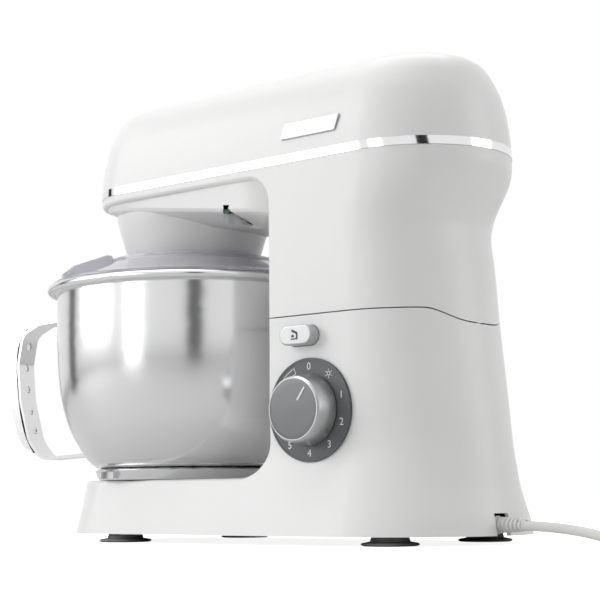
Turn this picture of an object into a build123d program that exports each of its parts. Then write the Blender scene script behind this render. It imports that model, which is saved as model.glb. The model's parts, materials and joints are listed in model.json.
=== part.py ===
from build123d import *
import os
from math import cos, hypot, pi, radians, sin, sqrt, tan

# Tilt-head stand mixer. Millimetres, +Z up, +X towards the rear, the controls on the -Y side.
# Shapes are laid out about the bowl's upright axis. save() moves them back by middle_x, so that the
# model's origin is the middle of its footprint at table level.

middle_x = 59.27          # from the bowl's axis to the middle of the mixer's length
wall = 2.6                # moulded wall thickness

# Outer form
half_width = 66.0         # flat sides of the column and the head
foot_z = 6.0              # underside of the foot, above the table
deck_z = 45.0             # top of the foot, under the bowl
arch_z = 256.0            # underside of the head's rim
strip_z = 262.6           # lower edge of the chrome strip
strip_height = 6.0
top_z = 336.0             # highest point of the top cover
column_x = 134.0          # front face of the column
nose_x = -65.0            # foremost point of the head
foot_nose_x = -68.0       # foremost point of the foot
neck_in_z = 212.0         # lower end of the neck

# Tilt hinge and the seam between stand and head
seam_z = 155.0
seam_rear_z = 146.0
seam_gap = 0.8
hinge_x = 256.0
hinge_z = 172.0
hinge_bush_r = 5.4
boss_places = ((-48, -56), (-48, 56), (44, -62), (44, 62), (100, -54), (100, 54))
foot_places = ((-6.6, -66.0), (-6.6, 66.0), (229.7, -55.8), (229.7, 55.8))
plate_r = 62.0
plate_screw_r = 34.0
button_long = 28.0
button_high = 13.5
chin_slope = 0.127        # fall of the underside towards the column
lamp_x = 90.0
lamp_y = -43.5
lamp_z = 235.0
frame_screw_places = ((16, -27), (16, 27), (120, -27), (120, 27))
bowl_outside = ((70, 54), (77.5, 57), (83.4, 63.5), (88.8, 72), (94.6, 83), (99.4, 96), (104.3, 123),
        (105.8, 152), (106, 184))
strap_route = ((105.4, 178), (148, 175), (165, 167), (169.5, 142), (166.5, 112), (157, 79), (144, 64),
        (85.0, 67.7))
strap_bends = (14, 12, 30, 40, 22, 14)
strap_width = 19.0
strap_thickness = 2.2
chute_turn = 220.0        # direction of the pouring chute about the bowl's axis
pin_r = 4.0

# Bowl
bowl_r = 106.0
bowl_floor_z = 54.0
bowl_wall = 1.4
rim_r = 113.8
handle_turn = 10.0        # the handle points to the front, turned this far to the control side

# Drive
planet_offset = 26.0      # from the bowl's axis to the tool's axis
layshaft_x = 45.0
motor_x = 190.0
belt_z = 284.0

# Controls
knob_x = 172.5
knob_z = 90.0
dial_r = 35.0
button_x = 166.0
button_z = 140.6

# Cord
cord_d = 6.5
exit_y = -12.0
exit_z = 13.0

saved = {}


def save(node, shape):
    """Write one named piece in the model's own frame."""
    moved = Pos(-middle_x, 0, 0) * shape
    solids = moved.solids()
    saved[node] = solids[0] if len(solids) == 1 else Compound(children=solids)
    export_step(saved[node], "parts/" + node + ".step")


def cylinder(x, y, z, radius, height):
    """Upright cylinder standing on z."""
    return Pos(x, y, z) * Cylinder(radius, height, align=(Align.CENTER, Align.CENTER, Align.MIN))


def cross_cylinder(x, y, z, radius, length):
    """Cylinder along Y, centred on y."""
    return Pos(x, y, z) * Rot(90, 0, 0) * Cylinder(radius, length)


def block(x0, x1, y0, y1, z0, z1):
    """Box between opposite corners."""
    centre = ((x0 + x1) / 2, (y0 + y1) / 2, (z0 + z1) / 2)
    return Pos(*centre) * Box(x1 - x0, y1 - y0, z1 - z0)


def turned(points):
    """Solid of revolution about the bowl's axis from (radius, z) points."""
    outline = Polyline(*[(r, 0, z) for r, z in points], close=True)
    return revolve(make_face(outline), Axis.Z)


def side_profile(points, half=200.0):
    """Prism across the whole width from (x, z) points."""
    outline = Polyline(*[(x, 0, z) for x, z in points], close=True)
    return extrude(make_face(outline), half, dir=(0, 1, 0), both=True)


# Outer form: one tall smooth body shared by the stand and the head, so that they meet flush.


def blend(value, start, end):
    """Smooth step from 0 at start to 1 at end."""
    t = min(1.0, max(0.0, (value - start) / (end - start)))
    return t * t * (3 - 2 * t)


def flare(z):
    """How far the foot spreads beyond the flat side."""
    return 16.4 * (max(0.0, 62.0 - z) / 56.0) ** 1.2


def rear_x(z):
    """Rear end of the body at height z: leaning back column, waist, overhanging head."""
    waist_z = 212.0
    if z > waist_z:
        return 262.7 + 20.3 * blend(z, waist_z, arch_z)
    if z > 152.0:
        return 269.0 - 0.105 * (z - 152.0)
    return 269.0 + 0.12 * (152.0 - z) + 3.5 * blend(z, 40.0, 15.0)


def plan(z, inset=0.0):
    """Horizontal outline of the body at height z, drawn in by inset."""
    low = z < 60.0
    half = half_width + flare(z) - inset
    front = (foot_nose_x if low else nose_x) + inset
    corner = (40.0 if low else 50.0) - inset
    bend_x = 204.0 + 8.0 * blend(z, 212.0, arch_z)
    side = Edge.make_line((front + corner, -half, z), (bend_x, -half, z))
    rear = EllipticalCenterArc((0, 0), rear_x(z) - inset - bend_x, half, start_angle=-90, arc_size=180)
    far_side = Edge.make_line((bend_x, half, z), (front + corner, half, z))
    far_corner = CenterArc((0, 0), corner, 90, 90)
    nose = Edge.make_line((front, half - corner, z), (front, corner - half, z))
    near_corner = CenterArc((0, 0), corner, 180, 90)
    edges = [
        side,
        (Pos(bend_x, 0, z) * rear).edges()[0],
        far_side,
        (Pos(front + corner, half - corner, z) * far_corner).edges()[0],
        nose,
        (Pos(front + corner, corner - half, z) * near_corner).edges()[0],
    ]
    return Face(Wire(edges))


def tall_form(levels, inset=0.0):
    return loft([plan(z, inset) for z in levels])


def arch(inset=0.0):
    """The open space between deck, column and head, as a prism across the body."""
    low = deck_z - inset
    high = arch_z + inset
    rear = column_x + inset
    outline = Polyline((-150, 0, low), (rear, 0, low), (rear, 0, high), (-150, 0, high), close=True)
    prism = extrude(make_face(outline), 200, dir=(0, 1, 0), both=True)
    inner = prism.edges().filter_by(Axis.Y).group_by(Axis.X)[-1].sort_by(Axis.Z)
    prism = fillet(inner[0], 24 + inset)
    upper = prism.edges().filter_by(Axis.Y).sort_by(lambda e: abs(e.center().X - rear) + abs(e.center().Z - high))
    return fillet(upper[0], 20 + inset)


def beyond_seam(side):
    """Everything above (side 1) or below (side -1) the seam between head and stand."""
    lift = side * seam_gap / 2
    far = 400.0 if side > 0 else -100.0
    front = Line((-200, 0, seam_z + lift), (251, 0, seam_z + lift))
    dip = Bezier(
        (251, 0, seam_z + lift), (259, 0, seam_z + lift), (264.5, 0, seam_rear_z + lift), (270.5, 0,
                seam_rear_z + lift)
    )
    rear = Polyline((270.5, 0, seam_rear_z + lift), (350, 0, seam_rear_z + lift), (350, 0, far),
            (-200, 0, far), (-200, 0, seam_z + lift))
    return extrude(make_face([front, dip, rear]), 200, dir=(0, 1, 0), both=True)


form_levels = (6, 14, 22, 30, 38, 48, 62, 90, 125, 160, 195, 212, 224, 236, 248, 256, strip_z)
hollow_levels = (2, 14, 22, 30, 38, 48, 62, 90, 125, 160, 195, 212, 224, 236, 248, 256, strip_z + 1)

solid_form = tall_form(form_levels) - arch()
side_edges = [
    e for e in solid_form.edges()
    if e.geom_type == GeomType.BSPLINE and foot_z + 1 < e.center().Z < strip_z - 1
    and e.center().X < 140 and abs(e.center().Z - 25.4) > 1 and abs(e.center().Z - 259.3) > 0.2
]
solid_form = fillet(side_edges, 3)
hollow = tall_form(hollow_levels, wall) - arch(wall)
shell = solid_form - hollow

# Inner lip: behind the dip the stand's wall is thinned on its inside, so that the head's rear edge can
# swing down past it.
swing = cross_cylinder(hinge_x, 0, hinge_z, 29.5, 160) & tall_form((120, 140, 160, 185, 210), 0.7)


# Stand

def stand_housing():
    """Foot, deck and lower column in one moulding, with its screw bosses."""
    housing = (shell & beyond_seam(-1)) - swing
    for x, y in boss_places:
        housing += cylinder(x, y, 10.7, 4.5, deck_z - wall - 10.6)
        housing -= cylinder(x, y, 10, 1.5, 20)
    housing += cylinder(0, 0, deck_z - 6.3, plate_r + 6, 4)
    housing -= cylinder(0, 0, deck_z - 3.3, plate_r + 0.2, 20)
    for i in range(3):
        housing -= Rot(0, 0, 60 + 120 * i) * cylinder(plate_screw_r, 0, 30, 1.9, 20)
    housing -= cross_cylinder(knob_x, -70, knob_z, dial_r + 0.2, 9.2)
    housing -= cross_cylinder(knob_x, -66, knob_z, 5.2, 20)
    housing -= pill(button_long + 0.8, button_high + 0.8, -80, -50)
    housing -= block(276, 300, exit_y - 6.5, exit_y + 6.5, 0, 20.5)
    return housing


def pill(long, high, y0, y1):
    """Rounded bar across Y at the release button's place."""
    face = Plane.XZ * SlotOverall(long, high)
    return Pos(button_x, y1, button_z) * extrude(face, y1 - y0, dir=(0, -1, 0))


def suction_feet():
    """Four rubber discs, each with a neck and a stud through the bottom plate."""
    outline = [(0, 0), (17.5, 0), (19.3, 0.8), (18.6, 1.9), (13.2, 2.9), (12.6, 5.0), (12.6, 8), (4, 8),
            (4, 12), (0, 12)]
    foot = turned(outline)
    return [Pos(x, y, 0) * foot for x, y in foot_places]


def bottom_plate():
    plate = extrude(plan(8, 4.4), 2.4, dir=(0, 0, 1))
    for x, y in foot_places:
        plate -= cylinder(x, y, 5, 4.1, 10)
    for x, y in boss_places:
        plate -= cylinder(x, y, 5, 2.0, 10)
    for i in range(9):
        plate -= block(150 + 8 * i, 153 + 8 * i, -22, 22, 5, 15)
    return plate - block(270, 300, exit_y - 6.5, exit_y + 6.5, 0, 20)


def base_screws():
    """Pan-head screws from below through the bottom plate into the bosses."""
    return [cylinder(x, y, 5.6, 3.6, 2.2) + cylinder(x, y, 7.6, 1.5, 18) for x, y in boss_places]


def bowl_plate():
    """Dished plate in the deck, with three lugs that the bowl's foot turns under."""
    plate = cylinder(0, 0, deck_z - 3.2, plate_r, 3.2)
    plate += cylinder(0, 0, deck_z - 0.1, 54, 4.6) - cylinder(0, 0, deck_z, 50, 5)
    plate -= cylinder(0, 0, deck_z - 1.2, 46, 3)
    for i in range(3):
        plate += Rot(0, 0, 120 * i) * sector(53, 59.5, 47.6, 49.5, 36)
        plate -= Rot(0, 0, 60 + 120 * i) * cylinder(plate_screw_r, 0, 40, 2.2, 10)
        plate -= Rot(0, 0, 60 + 120 * i) * cylinder(plate_screw_r, 0, deck_z - 2.4, 4.2, 3)
    return plate


def sector(r0, r1, z0, z1, width):
    """Part of a ring, width degrees wide, centred on +X."""
    ring = cylinder(0, 0, z0, r1, z1 - z0) - cylinder(0, 0, z0 - 1, r0, z1 - z0 + 2)
    reach = 2 * r1
    half = radians(width / 2)
    wedge = Polyline((0, 0), (reach * cos(half), reach * sin(half)),
            (reach * cos(half), -reach * sin(half)), close=True)
    return ring & Pos(0, 0, z0 - 1) * extrude(make_face(wedge), z1 - z0 + 2)


def plate_screws():
    screws = []
    for i in range(3):
        screw = cylinder(plate_screw_r, 0, deck_z - 2.4, 3.9, 1.3) + cylinder(plate_screw_r, 0,
                deck_z - 8.5, 1.9, 6.2)
        screws.append(Rot(0, 0, 60 + 120 * i) * screw)
    return screws


def hinge_bracket():
    """Steel fork on the column's inner wall that carries the hinge pin."""
    outline = side_profile([
        (139, 118), (224, 118), (232, 150), (250.5, 166), (262, 168), (262, 178), (250, 178), (212,
                146), (204, 134), (139, 134),
    ], 11)
    fork = outline - block(100, 300, -8, 8, 100, 200)
    fork += cross_cylinder(hinge_x, 0, hinge_z, 6.5, 22) - cross_cylinder(hinge_x, 0, hinge_z, 6.6, 16)
    fork += block(137.0, 140, -11, 11, 118, 134)
    return fork - cross_cylinder(hinge_x, 0, hinge_z, pin_r, 60)


def column_cap():
    """Flat cover on top of the stand's column, slotted for the head's striker."""
    cap = extrude(plan(seam_z - 5, wall + 0.4), 2.2, dir=(0, 0, 1)) & block(137.2, 205, -80, 80, 100, 200)
    return cap - block(152, 174, -7, 9, 100, 200)


def dial_ring():
    """Round plate behind the knob, with a low bead round its edge."""
    ring = cross_cylinder(knob_x, -67, knob_z, dial_r, 3.0)
    ring -= cross_cylinder(knob_x, -69.6, knob_z, dial_r - 1.2, 3.0)
    return ring - cross_cylinder(knob_x, -67, knob_z, 4.2, 10)


def speed_switch():
    body = block(knob_x - 17, knob_x + 17, -60, -42, knob_z - 15, knob_z + 15)
    body += cross_cylinder(knob_x, -61.5, knob_z, 4.6, 4)
    for i in range(5):
        body += block(knob_x - 13 + 6 * i, knob_x - 11 + 6 * i, -42.1, -37, knob_z - 12, knob_z - 8)
    return body - cross_cylinder(knob_x, -60, knob_z, 3.05, 30)


def control_board():
    """Motor control board standing in the column, with its larger components."""
    board = block(185, 250, 20, 21.6, 50, 112)
    board += block(192, 212, 6, 20.1, 56, 78) + block(218, 244, 8, 20.1, 88, 106)
    board += cross_cylinder(232, 12, 66, 8, 16.2) + cross_cylinder(204, 14, 96, 5, 12.2)
    return board


def button_guide():
    """Sleeve behind the wall that the release button runs in."""
    sleeve = pill(button_long + 4.6, button_high + 4.6, -63.1, -50)
    return sleeve - pill(button_long + 0.6, button_high + 0.6, -70, -40)


def return_spring():
    """Compression spring that pushes the latch slider back out."""
    path = Helix(pitch=3.0, height=15, radius=3.4)
    coil = sweep(Plane(path @ 0, z_dir=path % 0) * Circle(0.45), path=path)
    return Pos(button_x, 22.6, button_z - 1) * Rot(-90, 0, 0) * coil


def cord_gland():
    gland = block(278, 289.5, exit_y - 6.2, exit_y + 6.2, 7.0, 18.5)
    sleeve = Pos(283.5, exit_y, exit_z) * Rot(0, 90, 0) * Cylinder(5.0, 22)
    bore = Pos(270, exit_y, exit_z) * Rot(0, 90, 0) * Cylinder(cord_d / 2, 47)
    return gland + sleeve - bore


# Power cord. The route runs back from the gland, comes down to the table and joins the coil.

cord_route = (
    (294.5, exit_y, exit_z),
    (318, exit_y - 1.2, exit_z - 0.6),
    (343, exit_y + 1.0, 9.8),
    (364, exit_y - 0.6, 5.6),
    (381, exit_y, 3.7),
)
coil_x = 404.0
coil_r = 35.4             # middle of the turns
coil_y = exit_y + 42.0    # the outer turn carries on from the straight run
plug_x = coil_x + 36.0
plug_axis_z = 18.4


def corner_radii(points):
    """Largest fillets that the route's runs allow, one for each corner."""
    radii = []
    for before, corner, after in zip(points, points[1:], points[2:]):
        into = Vector(*corner) - Vector(*before)
        out = Vector(*after) - Vector(*corner)
        half_turn = radians(into.get_angle(out)) / 2
        radii.append(0.45 * min(into.length, out.length) / tan(half_turn))
    return radii


def power_cord():
    radii = corner_radii(cord_route)
    path = FilletPolyline(*cord_route, radius=radii)
    tube = sweep(Plane(path @ 0, z_dir=path % 0) * Circle(cord_d / 2), path=path)
    expected = pi * cord_d ** 2 / 4 * path.length
    print("cord radii", [round(r) for r in radii], "length", round(path.length, 1))
    print("cord volume over section times length", round(tube.volume / expected, 4))
    return tube


def cord_coil():
    """Outer shape of the cord's neat coil."""
    ring = cylinder(coil_x, coil_y, 0.2, coil_r + 10, 13.4) - cylinder(coil_x, coil_y, 0, coil_r - 10, 20)
    return fillet(ring.edges(), 3)


def plug_body():
    """Round moulded plug with a tapered strain relief, lying on the table."""
    start = coil_y + 33.0
    outline = Polyline((0, 0, 0), (5, 0, 0), (5.6, 0, 12), (15, 0, 20), (18, 0, 26), (18, 0, 42),
            (16.5, 0, 43.5), (0, 0, 43.5), close=True)
    body = revolve(make_face(outline), Axis.Z)
    body -= Pos(0, 0, -1) * Cylinder(cord_d / 2, 16, align=(Align.CENTER, Align.CENTER, Align.MIN))
    return Pos(plug_x, start, plug_axis_z) * Rot(-90, 0, 0) * body


def plug_pins():
    tip = coil_y + 33.0 + 43.5
    pin = Rot(-90, 0, 0) * Cylinder(2.4, 19, align=(Align.CENTER, Align.CENTER, Align.MIN))
    pin = fillet(pin.edges().group_by(Axis.Y)[-1], 1.8)
    return [Pos(plug_x + side * 9.5, tip, plug_axis_z) * pin for side in (-1, 1)]


# Knob and release button


def knob_turned(points):
    """Solid of revolution about the knob's axis from (radius, distance out from the side) points."""
    outline = Polyline(*[(r, 0, out) for r, out in points], close=True)
    return Pos(knob_x, -half_width, knob_z) * Rot(90, 0, 0) * revolve(make_face(outline), Axis.Z)


def speed_knob():
    knob = knob_turned([(0, 2.4), (4, 2.4), (4, 3.2), (24.3, 3.2), (24.3, 3.8), (22.0, 18.2),
            (20.9, 19.3), (20.3, 19.3), (20.3, 18.6), (0, 18.6)])
    return knob - knob_turned([(0, 2), (3.0, 2), (3.0, 12), (0, 12)])


def knob_face():
    """Domed insert that closes the knob."""
    return knob_turned([(0, 18.6), (20.2, 18.6), (20.2, 19.0), (19.6, 19.2), (0, 19.6)])


def knob_shaft():
    return knob_turned([(0, -20), (2.97, -20), (2.97, 11.9), (0, 11.9)])


def release_button():
    button = pill(button_long, button_high, -half_width - 9, -half_width + 11)
    return fillet(button.edges().group_by(Axis.Y)[0], 1.2)


def latch_slider():
    """Flat slider behind the button, with a window round the striker."""
    slider = block(button_x - 13.5, button_x + 10, -half_width + 11, 20, button_z - 1.6, button_z + 1.2)
    slider -= block(button_x - 11, button_x + 7, -8.6, 7.6, 100, 200)
    return slider + block(button_x - 5, button_x + 5, 20, 22, button_z - 6, button_z + 5)


# Tilting head


chin_steps = (            # half width, height at the bowl's axis, front end and corner of each outline
    (61.8, 250.3, -60.4, 45.3),
    (60.4, 248.2, -59.2, 44.0),
    (57.2, 246.7, -56.4, 41.0),
    (50.0, 245.0, -50.0, 34.0),
    (30.0, 240.3, -36.0, 24.0),
)


def chin_level(x, at_bowl):
    """Height of the head's sloping underside: it falls towards the column."""
    return at_bowl - chin_slope * x


def chin_section(at_bowl, front, rear, half, corner, level=None):
    """Rounded outline on the sloping underside, or on a level plane."""
    slope = chin_slope if level is None else 0.0
    base_z = level if level is not None else chin_level(0, at_bowl)
    plane = Plane(origin=(0, 0, base_z), x_dir=(1, 0, -slope), z_dir=(slope, 0, 1))
    long = (rear - front) * sqrt(1 + slope ** 2)
    middle = (rear + front) / 2 * sqrt(1 + slope ** 2)
    return plane * Pos(middle, 0) * RectangleRounded(long, 2 * half, corner)


def chin(inset):
    """Fairing under the head, from the rim down to the neck and back to the column."""
    sections = [chin_section(0, -61 + inset, 152, 62.5 - inset, 46 - inset, arch_z + 2.4 + 1.3 * inset)]
    for half, at_bowl, front, corner in chin_steps:
        sections.append(chin_section(at_bowl + inset, front + inset, 152, half - inset, corner - inset))
    return loft(sections, ruled=True)


def neck(inset):
    """Cone about the bowl's axis that carries the mixing drive."""
    top = 60 - inset
    return turned([(0, 208), (49.4 - inset, 208), (50 - inset, neck_in_z), (top, 246), (top, 252),
            (0, 252)])


def head_lower_housing():
    """Rim, underside, neck and upper column of the head in one moulding."""
    below = chin(0) + neck(0) - block(column_x + 1, 400, -100, 100, 0, 300)
    void = chin(wall) & block(-100, column_x + 1, -100, 100, 0, arch_z + 9)
    void += turned([(0, 200), (47.4, 200), (47.4, neck_in_z), (60 - wall, 246), (60 - wall, 262),
            (0, 262)])
    housing = (shell & beyond_seam(1)) + below - void
    for i in range(3):
        lug = Rot(0, 0, 120 * i + 60) * sector(49, 54.0, 208.2, 210.6, 18)
        housing += lug
    housing -= lamp_block(0.25, 20)
    return housing


def lamp_block(gap, high):
    """Bar that stands in the underside's lamp opening."""
    bar = Box(11 + 2 * gap, 34 + 2 * gap, high)
    bar = fillet(bar.edges().filter_by(Axis.Z), 5)
    return Pos(lamp_x, lamp_y, lamp_z) * Rot(12.5, 0, 0) * Rot(0, 7.2, 0) * bar


def lamp_lens():
    return lamp_block(0, 7)


def lamp_board():
    """Small board with three light-emitting diodes above the lens."""
    board = Pos(0, 0, 6) * Box(9, 30, 1.6)
    for i in range(3):
        board += Pos(0, 9 * i - 9, 4.4) * Cylinder(2.2, 1.7)
    return Pos(lamp_x, lamp_y, lamp_z) * Rot(12.5, 0, 0) * Rot(0, 7.2, 0) * board


def cover_form(inset):
    """Crowned top cover as a stack of outlines drawn in towards the top."""
    heights = (0, 5, 12.4, 20, 28.5, 38.5, 47.5, 55.5, 61.0, 64.6, top_z - strip_z - strip_height)
    drawn_in = (0, 0.35, 1.1, 2.2, 3.9, 6.8, 10.8, 15.6, 21.5, 29.5, 40.0)
    sections = []
    for height, draw in zip(heights, drawn_in):
        lift = -inset * height / heights[-1]
        sections.append(Pos(0, 0, height + lift + strip_height) * plan(strip_z, draw + inset))
    return loft(sections)


def head_top_cover():
    cover = cover_form(0) - cover_form(wall)
    return cover


def trim_strip():
    """Chrome band between the head's two housings."""
    band = extrude(plan(strip_z, -0.35), strip_height - 0.2, dir=(0, 0, 1))
    band -= extrude(plan(strip_z, 2.4), 10, dir=(0, 0, 1))
    return Pos(0, 0, 0.1) * band


def badge_plate():
    """Blank name plate on the control side."""
    outline = Polyline((-26.2, -6), (22.8, -6), (26.2, 6), (-22.8, 6), close=True)
    face = make_face(outline)
    face = fillet(face.vertices(), 1.6)
    plate = extrude(Plane.XZ * face, 1.6, dir=(0, -1, 0))
    plate = chamfer(plate.edges().group_by(Axis.Y)[0], 0.5)
    return Pos(172.4, -half_width + 1.75, 285) * Rot(-6.3, 0, 0) * plate


def head_bottom_cover():
    """Cover under the head's column, with the striker that the latch holds."""
    cover = extrude(plan(seam_z + 3, wall + 0.4), 2.2, dir=(0, 0, 1)) & block(137.2, 205, -80, 80, 100,
            200)
    cover += block(162, 170, -3, 3, 133, seam_z + 3.1) + block(162, 170, 2.9, 7, 133, 137.4)
    return cover


def hinge_arms():
    """Two steel lugs that hang the head on the hinge pin."""
    outline = [(248, 168), (252, 165.5), (260, 165.5), (262, 170), (262, 177), (254, 186), (254, 226),
            (238, 226), (238, 186)]
    arms = side_profile(outline, 16.5) - block(100, 300, -11.5, 11.5, 100, 222)
    return arms - cross_cylinder(hinge_x, 0, hinge_z, hinge_bush_r, 80)


def hinge_bushes():
    ring = Cylinder(hinge_bush_r, 5.0) - Cylinder(pin_r + 0.05, 10)
    return [Pos(hinge_x, side * 14, hinge_z) * Rot(90, 0, 0) * ring for side in (-1, 1)]


def hinge_pin():
    pin = cross_cylinder(hinge_x, 0, hinge_z, pin_r, 36)
    pin -= cross_cylinder(hinge_x, 18, hinge_z, 1.5, 8)
    return pin - cross_cylinder(hinge_x, -18, hinge_z, 1.5, 8)


def gear_frame():
    """Cast frame: bearing tube over the neck, ring gear seat, and a shelf back to the motor."""
    frame = cylinder(0, 0, 249, 52, 4) + block(0, 128, -30, 30, 249, 253)
    frame += cylinder(0, 0, 226, 49.5, 24) - cylinder(0, 0, 220, 46.0, 29)
    frame += cylinder(0, 0, 240, 17, 21) + cylinder(layshaft_x, 0, 249, 12, 8)
    for y in (-27, 27):
        frame += block(10, 126, y - 1.5, y + 1.5, 252, 258)
    frame -= cylinder(0, 0, 230, 13.0, 40)
    frame += cylinder(0, 0, 248, 13.1, 4) - cylinder(0, 0, 240, 7.5, 30)
    frame -= cylinder(layshaft_x, 0, 240, 4.05, 30)
    for x, y in frame_screw_places:
        frame -= cylinder(x, y, 240, 1.85, 30)
    return frame


def main_bearings():
    """Two plain bearings in the frame's tube."""
    ring = cylinder(0, 0, 0, 13.0, 8) - cylinder(0, 0, -1, 6.04, 20)
    return [Pos(0, 0, 240) * ring, Pos(0, 0, 252) * ring]


def motor_stator():
    core = Pos(motor_x, 0, 207) * Box(78, 66, 40, align=(Align.CENTER, Align.CENTER, Align.MIN))
    core = fillet(core.edges().filter_by(Axis.Z), 12)
    return core - cylinder(motor_x, 0, 190, 23.5, 80)


def motor_windings():
    """Field coils that stand out above and below the stator's core."""
    coils = []
    for z in (199, 247):
        loop = cylinder(motor_x, 0, z, 31, 8) - cylinder(motor_x, 0, z - 1, 24, 12)
        coils.append(fillet(loop.edges(), 2))
    return coils


def motor_brackets():
    """Bearing bridges at both ends of the motor."""
    brackets = []
    for z, hub in ((195, 190.5), (255, 256.5)):
        bridge = block(motor_x - 38.8, motor_x + 38.8, -8, 8, z, z + 3.5) + cylinder(motor_x, 0, hub,
                11, 8)
        for x in (motor_x - 35.2, motor_x + 35.2):
            z0, z1 = (z, 207) if z < 200 else (247, z + 3.5)
            bridge += cylinder(x, 0, z0, 3.6, z1 - z0)
        brackets.append(bridge - cylinder(motor_x, 0, 180, 4.05, 100))
    return brackets


def drive_belt():
    """Toothed belt between the motor's pulley and the layshaft's pulley, drawn as a plain band."""
    r0, r1 = 32.1, 8.1
    outer = belt_loop(r0 + 1.6, r1 + 1.6)
    return Pos(0, 0, belt_z) * extrude(outer - belt_loop(r0, r1), 8, dir=(0, 0, 1))


def belt_loop(r0, r1):
    """Outline of a belt round circles of radius r0 and r1 at the two shafts."""
    span = motor_x - layshaft_x
    lean = (r0 - r1) / span
    rise = sqrt(1 - lean ** 2)
    tangent = [(layshaft_x + r0 * lean, r0 * rise), (motor_x + r1 * lean, r1 * rise)]
    quad = Polyline(*tangent, *[(x, -y) for x, y in reversed(tangent)], close=True)
    return make_face(quad) + Pos(layshaft_x, 0) * Circle(r0) + Pos(motor_x, 0) * Circle(r1)


def head_screws():
    """Screws that hold the gear frame and the motor brackets."""
    return [cylinder(x, y, 258, 3.6, 2.4) + cylinder(x, y, 246, 1.8, 12.2) for x, y in frame_screw_places]


# Drive


def gear_face(teeth, module, tip, root, fill, turn):
    """Straight-flanked gear outline. fill is the tooth's share of the pitch at the pitch circle."""
    pitch_r = teeth * module / 2
    step = 2 * pi / teeth
    corners = []
    for i in range(teeth):
        middle = radians(turn) + i * step
        for radius, share in ((root, fill + 0.22), (tip, fill - 0.18), (tip, 0.18 - fill),
                (root, -fill - 0.22)):
            angle = middle - share * step / 2
            r = pitch_r + radius * module
            corners.append((r * cos(angle), r * sin(angle)))
    return make_face(Polyline(*corners, close=True))


def spur(teeth, module, x, z, high, bore, turn=0.0):
    face = gear_face(teeth, module, 0.9, -1.2, 0.46, turn) - Circle(bore)
    return Pos(x, 0, z) * extrude(face, high, dir=(0, 0, 1))


def ring_gear():
    ring = Circle(45.95) - gear_face(60, 1.3, 1.2, -0.9, 0.54, 0)
    return Pos(0, 0, 227) * extrude(ring, 9, dir=(0, 0, 1))


def main_gear():
    gear = spur(48, 1.5, 0, 264, 9, 6.0)
    for i in range(6):
        gear -= Rot(0, 0, 60 * i + 30) * cylinder(21, 0, 260, 7, 20)
    return gear


def main_shaft():
    return cylinder(0, 0, 212, 6.0, 62)


def planet_carrier():
    carrier = turned([(0, 211), (45, 211), (46.4, 213), (46.4, 222), (44, 224), (12, 224), (12, 225.5),
            (0, 225.5)])
    carrier -= cylinder(0, 0, 200, 6.0, 40) & block(-50, 50, -50, 50, 212, 240)
    return carrier - cylinder(planet_offset, 0, 200, 5.06, 40)


def planet_gear():
    return spur(20, 1.3, planet_offset, 227.2, 8.6, 5.0)


def tool_spindle():
    spindle = cylinder(planet_offset, 0, 152, 5.0, 86)
    spindle += Pos(planet_offset, 0, 160) * Rot(0, 90, 0) * Cylinder(1.9, 21)
    return spindle + cylinder(planet_offset, 0, 206.5, 9.5, 4.0)


def beater():
    """Flat cast beater that follows the bowl's wall."""
    outer = beater_outline(0)
    inner = beater_outline(8)
    bars = make_face(Polyline((-4, 60), (4, 60), (4, 160), (-4, 160), close=True))
    for side in (-1, 1):
        rib = Polyline((side * 2, 132), (side * 2, 123), (side * 58, 90), (side * 58, 99), close=True)
        bars += make_face(rib)
    frame = outer - inner + (bars & outer)
    plate = extrude(Plane.XZ * frame, 4.0, both=True)
    hub = cylinder(0, 0, 143, 9.5, 43)
    body = Pos(planet_offset, 0, 0) * (plate + hub)
    body -= cylinder(planet_offset, 0, 147.5, 5.3, 50)
    return body - block(planet_offset - 12, planet_offset + 12, -2.3, 2.3, 153.6, 162.1)


def beater_outline(inset):
    half = 62 - inset
    points = [
        (-12 + inset / 4, 158 - inset), (-half + 14, 150 - inset), (-half, 132 - inset / 2), (-half,
                97), (-54 + inset * 0.9, 75 + inset / 3),
        (-38 + inset / 2, 61.5 + inset), (38 - inset / 2, 61.5 + inset), (54 - inset * 0.9,
                75 + inset / 3), (half, 97), (half, 132 - inset / 2),
        (half - 14, 150 - inset), (12 - inset / 4, 158 - inset),
    ]
    face = make_face(Polyline(*points, close=True))
    return fillet(face.vertices(), 5)


def belt_pulley():
    pulley = cylinder(layshaft_x, 0, belt_z - 1.2, 33.5, 1.2) + cylinder(layshaft_x, 0, belt_z, 32, 8)
    pulley += cylinder(layshaft_x, 0, belt_z + 8, 33.5, 1.2)
    for i in range(5):
        pulley -= Pos(layshaft_x, 0, 0) * Rot(0, 0, 72 * i) * cylinder(19, 0, 270, 7, 40)
    return pulley - cylinder(layshaft_x, 0, 270, 4.0, 40)


def pinion_shaft():
    """Layshaft with its pinion cut on it."""
    return cylinder(layshaft_x, 0, 250, 4.0, 44) + spur(12, 1.5, layshaft_x, 263.5, 10, 3.5, 15.0)


def rotor():
    core = gear_face(12, 3.6, 0.1, -1.0, 0.7, 0)
    stack = cylinder(motor_x, 0, 207, 17, 40) + Pos(motor_x, 0, 209) * extrude(core, 36, dir=(0, 0, 1))
    return stack - cylinder(motor_x, 0, 200, 4.0, 60)


def rotor_shaft():
    return cylinder(motor_x, 0, 176, 4.0, 118)


def cooling_fan():
    fan = cylinder(motor_x, 0, 178, 9, 9) + cylinder(motor_x, 0, 178, 27, 1.6)
    for i in range(9):
        fan += Pos(motor_x, 0, 0) * Rot(0, 0, 40 * i) * block(8, 26, -0.8, 0.8, 179, 187)
    return fan - cylinder(motor_x, 0, 170, 4.0, 30)


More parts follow.
